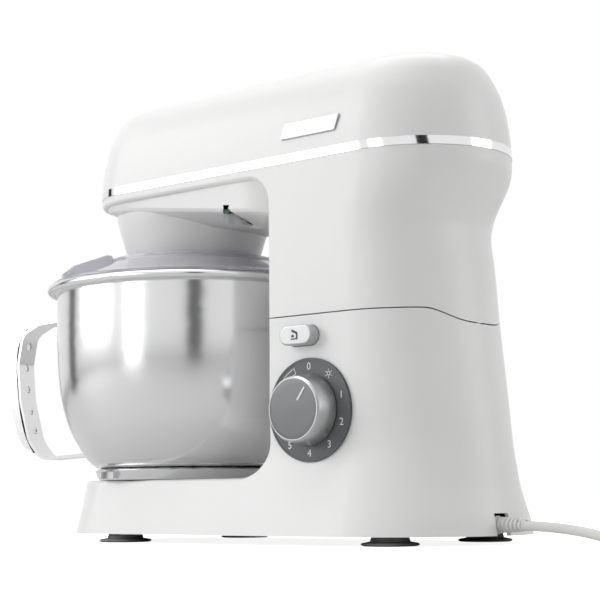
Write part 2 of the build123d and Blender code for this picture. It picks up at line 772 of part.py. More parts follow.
def motor_pulley():
    pulley = cylinder(motor_x, 0, belt_z - 1.2, 9.6, 1.2) + cylinder(motor_x, 0, belt_z, 8, 8)
    pulley += cylinder(motor_x, 0, belt_z + 8, 9.6, 1.2)
    return pulley - cylinder(motor_x, 0, 270, 4.0, 30)


# Bowl


def bowl_side(inset):
    """The bowl's curved side, from the flat bottom up to the straight wall, drawn in by inset."""
    curve = Spline(*[(r, 0, z) for r, z in bowl_outside])
    steps = 30
    points = []
    for i in range(steps + 1):
        place = curve @ (i / steps)
        along = curve % (i / steps)
        points.append((place.X - inset * along.Z, 0, place.Z + inset * along.X))
    points[0] = (bowl_outside[0][0], 0, bowl_floor_z + inset)
    points[-1] = (bowl_r - inset, 0, bowl_outside[-1][1])
    return Polyline(*points)


def bowl():
    """Deep drawn bowl with a rolled rim."""
    outer = bowl_side(0)
    inner = bowl_side(bowl_wall)
    inner_r = bowl_r - bowl_wall
    edges = [
        Polyline(outer @ 0, (0, 0, bowl_floor_z), (0, 0, bowl_floor_z + bowl_wall), inner @ 0),
        outer,
        Polyline(outer @ 1, (bowl_r, 0, 187.4), (109.6, 0, 188.25)),
        ThreePointArc((109.6, 0, 188.25), (rim_r, 0, 191), (109.6, 0, 193.75)),
        Polyline((109.6, 0, 193.75), (106.4, 0, 193.3), (inner_r, 0, 191.6), inner @ 1),
        inner,
    ]
    return revolve(make_face(edges), Axis.Z)


def bowl_foot():
    """Ring under the bowl, with three tabs that turn under the plate's lugs."""
    ring = turned([(73.0, 53.9), (75.6, 52.4), (72.4, 45.4), (69.6, 45.4), (71.5, 53.9)])
    for i in range(3):
        ring += Rot(0, 0, 120 * i) * sector(56.0, 70.5, 45.4, 47.1, 24)
        ring += Rot(0, 0, 257 + 120 * i) * sector(72, 77.6, 46.5, 51.5, 13)
    return ring


def around_handle(part):
    return Rot(0, 0, 180 + handle_turn) * part


def strap_side(offset):
    """One face of the strap: its route moved outwards, the bends' radii growing with it."""
    points = []
    last = len(strap_route) - 1
    for i, (r, z) in enumerate(strap_route):
        r0, z0 = strap_route[max(0, i - 1)]
        r1, z1 = strap_route[min(i, last - 1) + 1]
        before = Vector(z0 - z, r - r0) if i > 0 else Vector(z - z1, r1 - r)
        after = Vector(z - z1, r1 - r) if i < last else before
        before = before.normalized()
        after = after.normalized()
        move = (before + after) * (offset / (1 + before.dot(after)))
        points.append((r + move.X, 0, z + move.Y))
    return FilletPolyline(*points, radius=[bend + offset for bend in strap_bends])


def handle_strap():
    """Folded steel strap, dimpled along its inner face."""
    outer = strap_side(strap_thickness / 2)
    inner = strap_side(-strap_thickness / 2)
    ends = [Line(outer @ 0, inner @ 0), Line(outer @ 1, inner @ 1)]
    profile = make_face([outer, inner, *ends])
    strap = extrude(profile, strap_width / 2, dir=(0, 1, 0), both=True)
    for z in (158, 140, 122, 104, 88):
        strap -= Pos(dimple_r(z), 0, z) * Rot(0, 90, 0) * Cylinder(3, 3.8)
    return around_handle(strap)


def dimple_r(z):
    """Distance out to the middle of the tool that presses a dimple into the strap's inner face."""
    for (r0, z0), (r1, z1) in zip(strap_route, strap_route[1:]):
        if z1 <= z <= z0 and z0 - z1 > 5:
            return r0 + (r1 - r0) * (z0 - z) / (z0 - z1) - 2.2
    return strap_route[3][0] - 2.2


def handle_cover():
    """Hollow crowned grip welded on the strap's outer face."""
    inside = Spline((160.5, 0, 171.5), (168.6, 0, 160), (171, 0, 142), (168.2, 0, 112),
            (158.8, 0, 79.5), (151.5, 0, 69))
    outside = Spline((151.5, 0, 69), (164.5, 0, 78), (174.2, 0, 108), (177.0, 0, 142), (173.2, 0, 163),
            (160.5, 0, 171.5))
    cover = extrude(make_face([inside, outside]), strap_width / 2, dir=(0, 1, 0), both=True)
    return around_handle(cover)


# Splash lid


def lid():
    """Clear conical guard that hangs on the neck and closes the bowl."""
    cone = turned([
        (52.2, 211.4), (64, 211.4), (64, 209.5), (99.5, 194.6), (109.5, 194.6), (109.5, 196.2), (103,
                196.4), (66, 212.4), (65.8, 214.6), (64.2, 214.6),
        (64, 213.2), (52.2, 213.2),
    ])
    cone += turned([(100.5, 189.5), (102, 189.5), (102, 195.2), (100.5, 195.2)])
    for i in range(3):
        cone -= Rot(0, 0, 120 * i + 100) * sector(51, 54.6, 211, 213.6, 22)
    window = block(67, 98, -20, 20, 180, 211.6)
    return cone - Rot(0, 0, chute_turn) * window


def pour_chute():
    """Raised covered trough over the lid's opening."""
    outside = side_profile([(62, 180), (62, 217.6), (66, 218), (91, 210), (100.5, 203), (100.5, 180)], 24)
    inside = side_profile([(55, 170), (55, 216), (66.3, 216.2), (90.4, 208.3), (98.7, 202),
            (98.7, 170)], 22)
    below = turned([(0, 160), (111, 160), (111, 196.2), (103, 196.5), (66.1, 212.5), (66.1, 214.8),
            (0, 214.8)])
    return Rot(0, 0, chute_turn) * (outside - inside - below)


os.makedirs("parts", exist_ok=True)

save("stand_housing", stand_housing())
save("suction_feet", Compound(children=suction_feet()))
save("bottom_plate", bottom_plate())
save("base_screws", Compound(children=base_screws()))
save("bowl_plate", bowl_plate())
save("plate_screws", Compound(children=plate_screws()))
save("hinge_bracket", hinge_bracket())
save("hinge_pin", hinge_pin())
save("column_cap", column_cap())
save("dial_ring", dial_ring())
save("speed_switch", speed_switch())
save("control_board", control_board())
save("button_guide", button_guide())
save("return_spring", return_spring())
save("cord_gland", cord_gland())
save("power_cord", power_cord())
save("cord_coil", cord_coil())
save("plug_body", plug_body())
save("plug_pins", Compound(children=plug_pins()))
save("speed_knob", speed_knob())
save("knob_face", knob_face())
save("knob_shaft", knob_shaft())
save("release_button", release_button())
save("latch_slider", latch_slider())
save("head_lower_housing", head_lower_housing())
save("head_top_cover", head_top_cover())
save("trim_strip", trim_strip())
save("badge_plate", badge_plate())
save("lamp_lens", lamp_lens())
save("lamp_board", lamp_board())
save("head_bottom_cover", head_bottom_cover())
save("hinge_arms", hinge_arms())
save("hinge_bushes", Compound(children=hinge_bushes()))
save("gear_frame", gear_frame())
save("main_bearings", Compound(children=main_bearings()))
save("motor_stator", motor_stator())
save("motor_windings", Compound(children=motor_windings()))
save("motor_brackets", Compound(children=motor_brackets()))
save("drive_belt", drive_belt())
save("head_screws", Compound(children=head_screws()))
save("ring_gear", ring_gear())
save("main_gear", main_gear())
save("main_shaft", main_shaft())
save("planet_carrier", planet_carrier())
save("planet_gear", planet_gear())
save("tool_spindle", tool_spindle())
save("beater", beater())
save("belt_pulley", belt_pulley())
save("pinion_shaft", pinion_shaft())
save("rotor", rotor())
save("rotor_shaft", rotor_shaft())
save("cooling_fan", cooling_fan())
save("motor_pulley", motor_pulley())
save("bowl", bowl())
save("bowl_foot", bowl_foot())
save("handle_strap", handle_strap())
save("handle_cover", handle_cover())
save("lid", lid())
save("pour_chute", pour_chute())
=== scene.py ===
import json
import math

import bmesh
import bpy
from mathutils import Matrix, Vector


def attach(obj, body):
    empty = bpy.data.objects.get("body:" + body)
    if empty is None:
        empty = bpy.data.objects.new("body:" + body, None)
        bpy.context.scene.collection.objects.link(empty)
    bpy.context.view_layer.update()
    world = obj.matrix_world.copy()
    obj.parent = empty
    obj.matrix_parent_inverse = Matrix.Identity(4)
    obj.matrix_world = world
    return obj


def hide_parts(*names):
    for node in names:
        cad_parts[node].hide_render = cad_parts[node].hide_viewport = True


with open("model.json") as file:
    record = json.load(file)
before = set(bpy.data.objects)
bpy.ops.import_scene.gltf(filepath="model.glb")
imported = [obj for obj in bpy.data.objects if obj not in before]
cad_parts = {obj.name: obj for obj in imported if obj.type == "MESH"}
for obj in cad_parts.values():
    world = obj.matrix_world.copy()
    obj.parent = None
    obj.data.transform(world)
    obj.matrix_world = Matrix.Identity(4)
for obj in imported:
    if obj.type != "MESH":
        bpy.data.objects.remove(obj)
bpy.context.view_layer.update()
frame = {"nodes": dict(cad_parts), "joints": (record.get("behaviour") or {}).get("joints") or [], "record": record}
nodes = frame["nodes"]
bodyOf = {n: b for b, members in frame["record"]["behaviour"]["bodies"].items() for n in members}
jointPlace = {j["name"]: Vector(j.get("pos_m", (0, 0, 0))) for j in frame["joints"]}
bowlX = jointPlace["planet_spin"].x          # everything is laid out from the bowl's upright axis
knobAxis = jointPlace["speed_turn"]
mm = 0.001


def at(x, y, z):
    return Vector((bowlX + x * mm, y * mm, z * mm))


# Camera: low, in front of the control side, slightly rolled
view = {"place": (836.84, -869.79, 32.49), "right": (0.765933, 0.642877, -0.007458),
        "up": (0.086512, -0.091563, 0.992034), "ahead": (-0.637073, 0.760477, 0.125748), "lens": 92.81}
camData = bpy.data.cameras.new("viewer")
camData.lens = view["lens"]
camData.sensor_width = 36
camData.clip_end = 50
camera = bpy.data.objects.new("viewer", camData)
turn = Matrix((view["right"], view["up"], [-c for c in view["ahead"]])).transposed()
camera.matrix_world = Matrix.Translation(at(*view["place"])) @ turn.to_4x4()
bpy.context.scene.collection.objects.link(camera)
bpy.context.scene.camera = camera
print("camera ready")


# Shared effects

def startGroup(name, inputs, outputs):
    group = bpy.data.node_groups.new(name, "ShaderNodeTree")
    for label, kind, value in inputs:
        socket = group.interface.new_socket(label, in_out="INPUT", socket_type=kind)
        if value is not None:
            socket.default_value = value
    for label in outputs:
        group.interface.new_socket(label, in_out="OUTPUT", socket_type="NodeSocketFloat")
    return group, group.nodes.new("NodeGroupInput"), group.nodes.new("NodeGroupOutput")


def mathNode(tree, operation, first, second, clamp=False):
    node = tree.nodes.new("ShaderNodeMath")
    node.operation = operation
    node.use_clamp = clamp
    for socket, value in zip(node.inputs, (first, second)):
        if isinstance(value, (int, float)):
            socket.default_value = value
        else:
            tree.links.new(value, socket)
    return node.outputs[0]


def noiseNode(tree, vector, scale, detail=3.0):
    node = tree.nodes.new("ShaderNodeTexNoise")
    node.inputs["Detail"].default_value = detail
    tree.links.new(vector, node.inputs["Vector"])
    if isinstance(scale, (int, float)):
        node.inputs["Scale"].default_value = scale
    else:
        tree.links.new(scale, node.inputs["Scale"])
    return node.outputs[0]


def mouldedGrain():
    group, inner, outer = startGroup("mouldedGrain", [
        ("Vector", "NodeSocketVector", None), ("Grain Scale", "NodeSocketFloat", 1800.0),
        ("Base Roughness", "NodeSocketFloat", 0.35), ("Spread", "NodeSocketFloat", 0.08),
    ], ("Roughness", "Height"))
    fine = noiseNode(group, inner.outputs["Vector"], inner.outputs["Grain Scale"], 2.0)
    cloud = noiseNode(group, inner.outputs["Vector"], 14.0, 4.0)
    centred = mathNode(group, "SUBTRACT", cloud, 0.5)
    swing = mathNode(group, "MULTIPLY", centred, inner.outputs["Spread"])
    rough = mathNode(group, "ADD", swing, inner.outputs["Base Roughness"], True)
    group.links.new(rough, outer.inputs["Roughness"])
    group.links.new(fine, outer.inputs["Height"])
    return group


def drawnLines():
    group, inner, outer = startGroup("drawnLines", [
        ("Vector", "NodeSocketVector", None), ("Line Scale", "NodeSocketFloat", 900.0),
        ("Base Roughness", "NodeSocketFloat", 0.2), ("Spread", "NodeSocketFloat", 0.1),
    ], ("Roughness", "Height"))
    lines = noiseNode(group, inner.outputs["Vector"], inner.outputs["Line Scale"], 4.0)
    centred = mathNode(group, "SUBTRACT", lines, 0.5)
    swing = mathNode(group, "MULTIPLY", centred, inner.outputs["Spread"])
    rough = mathNode(group, "ADD", swing, inner.outputs["Base Roughness"], True)
    group.links.new(rough, outer.inputs["Roughness"])
    group.links.new(lines, outer.inputs["Height"])
    return group


grainGroup = mouldedGrain()
linesGroup = drawnLines()


def paint(name, look):
    material = bpy.data.materials.new(name)
    material.use_nodes = True
    tree = material.node_tree
    shader = tree.nodes["Principled BSDF"]
    coordinates = tree.nodes.new("ShaderNodeTexCoord")
    mapping = tree.nodes.new("ShaderNodeMapping")
    mapping.inputs["Scale"].default_value = look.get("stretch", (1, 1, 1))
    tree.links.new(coordinates.outputs["Object"], mapping.inputs["Vector"])
    effect = tree.nodes.new("ShaderNodeGroup")
    effect.node_tree = linesGroup if look.get("lines") else grainGroup
    tree.links.new(mapping.outputs["Vector"], effect.inputs["Vector"])
    effect.inputs[1].default_value = look.get("scale", 1500.0)
    effect.inputs["Base Roughness"].default_value = look["roughness"]
    effect.inputs["Spread"].default_value = look.get("spread", 0.08)
    tree.links.new(effect.outputs["Roughness"], shader.inputs["Roughness"])
    bump = tree.nodes.new("ShaderNodeBump")
    bump.inputs["Strength"].default_value = look.get("bump", 0.15)
    bump.inputs["Distance"].default_value = look.get("depth", 0.00004)
    tree.links.new(effect.outputs["Height"], bump.inputs["Height"])
    tree.links.new(bump.outputs["Normal"], shader.inputs["Normal"])
    shader.inputs["Base Color"].default_value = (*look["color"], 1)
    shader.inputs["Metallic"].default_value = look.get("metallic", 0.0)
    shader.inputs["Coat Weight"].default_value = look.get("coat", 0.0)
    shader.inputs["Coat Roughness"].default_value = look.get("coatRoughness", 0.2)
    shader.inputs["Transmission Weight"].default_value = look.get("clear", 0.0)
    shader.inputs["IOR"].default_value = look.get("ior", 1.45)
    return material


finishes = {
    "body": {"color": (0.82, 0.82, 0.815), "roughness": 0.36, "spread": 0.05, "bump": 0.08,
             "coat": 0.12, "coatRoughness": 0.3},
    "chrome": {"color": (0.82, 0.82, 0.83), "metallic": 1.0, "roughness": 0.09, "spread": 0.04,
               "bump": 0.02},
    "bowl_steel": {"color": (0.74, 0.74, 0.745), "metallic": 1.0, "roughness": 0.2, "spread": 0.07,
                   "lines": True, "scale": 26.0, "stretch": (1, 1, 90), "bump": 0.05, "depth": 0.00003},
    "steel": {"color": (0.5, 0.51, 0.52), "metallic": 1.0, "roughness": 0.34, "spread": 0.16,
              "bump": 0.1, "scale": 700.0},
    "cast_metal": {"color": (0.56, 0.57, 0.58), "metallic": 1.0, "roughness": 0.46, "spread": 0.14,
                   "bump": 0.35, "scale": 900.0},
    "dial": {"color": (0.115, 0.118, 0.122), "roughness": 0.42, "spread": 0.06, "bump": 0.2},
    "button": {"color": (0.5, 0.505, 0.51), "metallic": 0.55, "roughness": 0.36, "spread": 0.06,
               "bump": 0.06},
    "knob": {"color": (0.52, 0.525, 0.53), "metallic": 0.9, "roughness": 0.3, "spread": 0.06,
             "bump": 0.05},
    "knob_top": {"color": (0.16, 0.163, 0.167), "metallic": 0.7, "roughness": 0.4, "spread": 0.06,
                 "bump": 0.05},
    "dark_rubber": {"color": (0.17, 0.172, 0.176), "roughness": 0.62, "spread": 0.14, "bump": 0.3,
                    "scale": 900.0},
    "inner_plastic": {"color": (0.62, 0.62, 0.6), "roughness": 0.5, "bump": 0.2},
    "dark_plastic": {"color": (0.05, 0.05, 0.052), "roughness": 0.5, "bump": 0.25},
    "board": {"color": (0.02, 0.14, 0.06), "roughness": 0.35, "spread": 0.12},
    "copper": {"color": (0.62, 0.28, 0.12), "metallic": 0.9, "roughness": 0.3, "lines": True,
               "scale": 40.0, "stretch": (1, 1, 40), "bump": 0.6, "depth": 0.0002},
    "bronze": {"color": (0.5, 0.33, 0.14), "metallic": 1.0, "roughness": 0.42, "spread": 0.14},
    "belt": {"color": (0.02, 0.02, 0.02), "roughness": 0.7, "bump": 0.3},
    "cord": {"color": (0.74, 0.74, 0.72), "roughness": 0.48, "spread": 0.1, "bump": 0.15},
    "lid_clear": {"color": (0.93, 0.92, 0.975), "roughness": 0.08, "spread": 0.03, "bump": 0.02,
                  "clear": 0.7, "ior": 1.46},
    "lens": {"color": (0.96, 0.97, 0.98), "roughness": 0.3, "spread": 0.08, "bump": 0.05,
             "clear": 0.75, "ior": 1.46},
    "print_white": {"color": (0.85, 0.85, 0.85), "roughness": 0.5},
    "print_dark": {"color": (0.04, 0.04, 0.042), "roughness": 0.5},
}
materials = {name: paint(name, look) for name, look in finishes.items()}
print("finishes ready")


# Making pieces

def place(name, mesh, body, slotName, replaced=()):
    thing = bpy.data.objects.new(name, mesh)
    bpy.context.scene.collection.objects.link(thing)
    if slotName in materials and not mesh.materials:
        mesh.materials.append(materials[slotName])
    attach(thing, body)
    if replaced:
        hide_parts(*replaced)
    return thing


def shadeByAngle(mesh, degrees):
    work = bmesh.new()
    work.from_mesh(mesh)
    limit = math.radians(degrees)
    for face in work.faces:
        face.smooth = True
    for edge in work.edges:
        edge.smooth = len(edge.link_faces) == 2 and edge.calc_face_angle(0.0) < limit
    work.to_mesh(mesh)
    work.free()


slotOf = {s["node"]: s["material_slot"] for s in frame["record"]["subparts"]}


def smoothed(node, degrees=30, slotName=None):
    work = bmesh.new()
    work.from_mesh(nodes[node].data)
    bmesh.ops.remove_doubles(work, verts=work.verts, dist=2e-6)
    mesh = bpy.data.meshes.new(node + "Skin")
    work.to_mesh(mesh)
    work.free()
    if "custom_normal" in mesh.attributes:
        mesh.attributes.remove(mesh.attributes["custom_normal"])
    mesh.materials.clear()
    shadeByAngle(mesh, degrees)
    slotName = slotName or slotOf[node]
    thing = place(node + "Skin", mesh, bodyOf[node], slotName, (node,))
    evenOut = thing.modifiers.new("evenOut", "WEIGHTED_NORMAL")
    evenOut.keep_sharp = True
    evenOut.weight = 50
    return thing


def lathe(name, profile, centre, segments, axis):
    work = bmesh.new()
    rows = []
    for r, h in profile:
        ring = []
        count = 1 if r < 1e-7 else segments
        for i in range(count):
            a = 2 * math.pi * i / segments
            across, up = r * math.cos(a), r * math.sin(a)
            point = Vector((across, h, up) if axis == "Y" else (h, across, up))
            ring.append(work.verts.new(Vector(centre) + point))
        rows.append(ring)
    pairs = list(zip(rows, rows[1:]))
    if len(rows[0]) > 1 and len(rows[-1]) > 1:
        pairs.append((rows[-1], rows[0]))
    for low, high in pairs:
        for i in range(segments):
            j = (i + 1) % segments
            corners = []
            for vert in (low[i % len(low)], low[j % len(low)], high[j % len(high)],
                         high[i % len(high)]):
                if vert not in corners:
                    corners.append(vert)
            if len(corners) > 2:
                work.faces.new(corners)
    bmesh.ops.recalc_face_normals(work, faces=work.faces)
    mesh = bpy.data.meshes.new(name)
    work.to_mesh(mesh)
    work.free()
    return mesh


# Cord: the same route as the CAD tube, then the coil's turns in the same spline
lead = {"diameter": 6.5, "turns": 4.25, "perTurn": 24, "outer": 42.0, "step": 6.65, "low": 3.55,
        "coilX": 404.0, "coilY": 30.0}
leadRoute = [(294.5, -12, 13), (318, -13.2, 12.4), (343, -11.0, 9.8), (364, -12.6, 5.6),
             (381, -12.0, 3.7), (392.5, -12.0, 3.55)]
leadRise = [(-0.6, 10, 1.2), (-1.6, 20, 4.6)]     # from the last turn's end
leadIntoPlug = [(440.0, 56.0, 17.6), (440.0, 64.0, 18.4), (440.0, 72.0, 18.4)]
# Degrees along the coil over which a turn moves one cord inward, outward or up
coilMoves = {"inward": ((290, 360), (650, 720)), "outward": ((890, 950), (1240, 1300)),
             "up": ((830, 890),)}


def eased(degrees, start, end):
    share = min(1.0, max(0.0, (degrees - start) / (end - start)))
    return share * share * (3 - 2 * share)


def coilPlace(turned):
    degrees = 360 * turned
    moved = {way: sum(eased(degrees, *span) for span in spans) for way, spans in coilMoves.items()}
    radius = lead["outer"] - lead["step"] * (moved["inward"] - moved["outward"])
    angle = math.radians(degrees - 90)
    height = lead["low"] + lead["step"] * moved["up"]
    return (lead["coilX"] + radius * math.cos(angle), lead["coilY"] + radius * math.sin(angle), height)


def makeLead():
    steps = int(lead["turns"] * lead["perTurn"])
    points = leadRoute + [coilPlace(i / lead["perTurn"]) for i in range(steps + 1)]
    last = points[-1]
    points += [tuple(c + move for c, move in zip(last, rise)) for rise in leadRise]
    points += leadIntoPlug
    curve = bpy.data.curves.new("powerLead", "CURVE")
    curve.dimensions = "3D"
    spline = curve.splines.new("NURBS")
    spline.points.add(len(points) - 1)
    for point, (x, y, z) in zip(spline.points, points):
        point.co = (*at(x, y, z), 1)
    spline.order_u = 3
    spline.use_endpoint_u = True
    spline.resolution_u = 6
    curve.bevel_depth = lead["diameter"] / 2 * mm
    curve.bevel_resolution = 5
    curve.use_fill_caps = True
    curve.materials.append(materials["cord"])
    thing = bpy.data.objects.new("powerLead", curve)
    bpy.context.scene.collection.objects.link(thing)
    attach(thing, "stand")
    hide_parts("power_cord", "cord_coil")
    run = [at(*p) for p in points]
    return thing, sum((b - a).length for a, b in zip(run, run[1:]))


powerLead, leadLength = makeLead()
print("cord", round(leadLength, 3))


# Geometry Nodes: rings of small pieces

def ringTree(name, slotName):
    tree = bpy.data.node_groups.new(name, "GeometryNodeTree")
    tree.interface.new_socket("Geometry", in_out="INPUT", socket_type="NodeSocketGeometry")
    tree.interface.new_socket("Count", in_out="INPUT", socket_type="NodeSocketInt").default_value = 12
    for label in ("Radius", "Width", "Depth", "Height"):
        tree.interface.new_socket(label, in_out="INPUT",
                                  socket_type="NodeSocketFloat").default_value = mm
    tree.interface.new_socket("Geometry", in_out="OUTPUT", socket_type="NodeSocketGeometry")
    inner, outer = tree.nodes.new("NodeGroupInput"), tree.nodes.new("NodeGroupOutput")
    circle = tree.nodes.new("GeometryNodeMeshCircle")
    tree.links.new(inner.outputs["Count"], circle.inputs["Vertices"])
    tree.links.new(inner.outputs["Radius"], circle.inputs["Radius"])
    block = tree.nodes.new("GeometryNodeMeshCube")
    size = tree.nodes.new("ShaderNodeCombineXYZ")
    for label, axis in (("Width", "X"), ("Depth", "Y"), ("Height", "Z")):
        tree.links.new(inner.outputs[label], size.inputs[axis])
    tree.links.new(size.outputs[0], block.inputs["Size"])
    position = tree.nodes.new("GeometryNodeInputPosition")
    align = tree.nodes.new("FunctionNodeAlignRotationToVector")
    align.axis = "Y"
    tree.links.new(position.outputs[0], align.inputs["Vector"])
    spread = tree.nodes.new("GeometryNodeInstanceOnPoints")
    tree.links.new(circle.outputs[0], spread.inputs["Points"])
    tree.links.new(block.outputs[0], spread.inputs["Instance"])
    tree.links.new(align.outputs[0], spread.inputs["Rotation"])
    real = tree.nodes.new("GeometryNodeRealizeInstances")
    tree.links.new(spread.outputs[0], real.inputs[0])
    dress = tree.nodes.new("GeometryNodeSetMaterial")
    dress.inputs["Material"].default_value = materials[slotName]
    tree.links.new(real.outputs[0], dress.inputs["Geometry"])
    tree.links.new(dress.outputs[0], outer.inputs[0])
    return tree


def ringOf(name, values, centre, turnBy, body, slotName):
    carrier = bpy.data.objects.new(name + "Maker", bpy.data.meshes.new(name + "Maker"))
    bpy.context.scene.collection.objects.link(carrier)
    maker = carrier.modifiers.new("maker", "NODES")
    tree = ringTree(name + "Tree", slotName)
    maker.node_group = tree
    for item in tree.interface.items_tree:
        if item.in_out == "INPUT" and item.name in values:
            maker[item.identifier] = values[item.name]
    ready = carrier.evaluated_get(bpy.context.evaluated_depsgraph_get())
    mesh = bpy.data.meshes.new_from_object(ready)
    carrier.modifiers.remove(maker)
    bpy.data.objects.remove(carrier)
    mesh.transform(Matrix.Translation(centre) @ turnBy.to_4x4())
    mesh.name = name
    thing = place(name, mesh, body, slotName)
    soften = thing.modifiers.new("soften", "BEVEL")
    soften.width = 0.25 * min(values["Width"], values["Depth"], values["Height"])
    soften.segments = 2
    return thing


# Housing, drive, bowl and lid: every CAD piece gets a smooth skin of its own
otherFinish = {"knob_face": "knob_top"}
rounded = {"stand_housing": 28, "head_lower_housing": 28, "head_top_cover": 40, "bowl": 24, "lid": 24,
           "return_spring": 60, "handle_cover": 40, "handle_strap": 24, "cooling_fan": 25}
leftToOthers = ("power_cord", "cord_coil", "cord_gland", "plug_body")
for node in sorted(nodes):
    if node not in leftToOthers:
        smoothed(node, rounded.get(node, 30), otherFinish.get(node))
print("skins ready")


# Strain relief and plug
gland = {"ribs": 6, "pitch": 3.0, "thick": 10.4, "thin": 8.0, "firstRib": 285.6, "groove": 0.9}


def makeStrainRelief():
    profile = [(3.3, 271), (5.4, 271), (5.4, 277.5), (6.0, 278.2), (6.0, 284.5), (5.3, 285.2)]
    x = gland["firstRib"]
    for i in range(gland["ribs"]):
        r = (gland["thick"] + (gland["thin"] - gland["thick"]) * i / gland["ribs"]) / 2
        low = r - gland["groove"]
        profile += [(low, x), (low, x + 0.9), (r, x + 1.2), (r, x + 2.6), (low, x + 2.9)]
        x += gland["pitch"]
    profile += [(3.7, x), (3.5, x + 2.2), (3.3, x + 2.2)]
    middle = at(0, *leadRoute[0][1:])
    mesh = lathe("strainRelief", [(r * mm, h * mm) for r, h in profile], middle, 48, "X")
    shadeByAngle(mesh, 35)
    thing = place("strainRelief", mesh, "stand", "cord", ("cord_gland",))
    return thing


plug = {"x": 440.0, "y": 63.0, "z": 18.4, "ribs": 18, "ribRadius": 17.4, "ribWidth": 1.2,
        "ribDepth": 0.9, "ribLength": 11, "ribMiddle": 34}


def makePlug():
    profile = [(3.3, 0), (4.9, 0), (5.2, 1), (5.3, 3), (4.6, 3.4), (4.6, 4.4), (5.5, 4.8), (5.6, 7),
               (4.9, 7.4), (4.9, 8.4), (5.9, 8.8), (6.2, 12), (9, 15.2), (13, 18.6), (15.6, 21.6),
               (17.2, 25), (17.8, 28), (17.8, 40.6), (17.2, 42.4), (15.6, 43.2), (13.2, 43.3),
               (12.8, 42.5), (0, 42.5), (0, 10), (3.3, 9)]
    mesh = lathe("plugShell", [(r * mm, h * mm) for r, h in profile],
                 at(plug["x"], plug["y"], plug["z"]), 72, "Y")
    shadeByAngle(mesh, 35)
    thing = place("plugShell", mesh, "stand", "cord", ("plug_body",))
    grip = ringOf("plugGrip", {"Count": plug["ribs"], "Radius": plug["ribRadius"] * mm,
                               "Width": plug["ribWidth"] * mm, "Depth": plug["ribDepth"] * mm,
                               "Height": plug["ribLength"] * mm},
                  at(plug["x"], plug["y"] + plug["ribMiddle"], plug["z"]),
                  Matrix.Rotation(math.pi / 2, 3, "X"), "stand", "cord")
    return thing, grip


strainRelief = makeStrainRelief()
plugShell, plugGrip = makePlug()
print("plug ready")


# Dial marks
dial = {"markRadius": 29.2, "numberSize": 7.0, "print": 0.12, "faceY": -68.1, "proud": 0.02,
        "numbers": ((0, 0), (1, 72), (2, 108), (3, 144), (4, 180), (5, 216))}
lampSign = {"angle": 36, "rim": (1.0, 1.45), "steps": 16, "rays": 6, "ray": (2.0, 3.1), "stroke": 0.42}
pulseSign = {"from": -54, "to": -25, "radii": (27.4, 31.2), "stroke": 0.4, "ends": (27.2, 31.4),
             "steps": 10}


def dialSpot(degrees, radius, out=0.0):
    a = math.radians(degrees)
    return Vector((knobAxis.x + radius * mm * math.sin(a), (dial["faceY"] - out) * mm,
                   knobAxis.z + radius * mm * math.cos(a)))


def printedText(name, words, size, spot, body, slotName, thick):
    font = bpy.data.curves.new(name, "FONT")
    font.body = words
    font.size = size * mm
    font.align_x = "CENTER"
    font.align_y = "CENTER"
    font.extrude = thick * mm / 2
    font.resolution_u = 4
    maker = bpy.data.objects.new(name + "Maker", font)
    bpy.context.scene.collection.objects.link(maker)
    mesh = bpy.data.meshes.new_from_object(maker.evaluated_get(bpy.context.evaluated_depsgraph_get()))
    bpy.data.objects.remove(maker)
    mesh.materials.clear()
    mesh.transform(Matrix.Translation(spot) @ Matrix.Rotation(math.pi / 2, 4, "X"))
    mesh.name = name
    thing = place(name, mesh, body, slotName)
    return thing


def flatShape(name, outlines, y, thick, body, slotName):
    work = bmesh.new()
    for outline in outlines:
        front = [work.verts.new(Vector((x, y - thick * mm, z))) for x, z in outline]
        back = [work.verts.new(Vector((x, y, z))) for x, z in outline]
        work.faces.new(front)
        work.faces.new(back[::-1])
        for i in range(len(outline)):
            j = (i + 1) % len(outline)
            work.faces.new((front[i], back[i], back[j], front[j]))
    bmesh.ops.recalc_face_normals(work, faces=work.faces)
    mesh = bpy.data.meshes.new(name)
    work.to_mesh(mesh)
    work.free()
    thing = place(name, mesh, body, slotName)
    return thing


for count, degrees in dial["numbers"]:
    printedText("mark" + str(count), str(count), dial["numberSize"],
                dialSpot(degrees, dial["markRadius"]), "stand", "print_white", dial["print"])


def stroke(a, b, width):
    along = (Vector(b) - Vector(a)).normalized()
    side = Vector((-along.y, along.x)) * width * mm / 2
    return [tuple(Vector(a) + side), tuple(Vector(b) + side), tuple(Vector(b) - side),
            tuple(Vector(a) - side)]


def lampMark():
    spot = dialSpot(lampSign["angle"], dial["markRadius"])
    centre = Vector((spot.x, spot.z))
    inner, outer = (r * mm for r in lampSign["rim"])
    start, end = (r * mm for r in lampSign["ray"])
    steps, rays = lampSign["steps"], lampSign["rays"]
    shapes = []
    for i in range(steps):
        a, b = (2 * math.pi * (i + k) / steps for k in (0, 1))
        corners = ((inner, a), (outer, a), (outer, b), (inner, b))
        shapes.append([(centre.x + r * math.cos(t), centre.y + r * math.sin(t)) for r, t in corners])
    for i in range(rays):
        a = math.radians(360 / rays * (i + 0.5))
        ray = Vector((math.cos(a), math.sin(a)))
        shapes.append(stroke(centre + ray * start, centre + ray * end, lampSign["stroke"]))
    return flatShape("lampMark", shapes, spot.y + dial["proud"] * mm, dial["print"], "stand",
                     "print_white")


def aroundKnob(radius, degrees):
    a = math.radians(degrees)
    return (knobAxis.x + radius * mm * math.sin(a), knobAxis.z + radius * mm * math.cos(a))


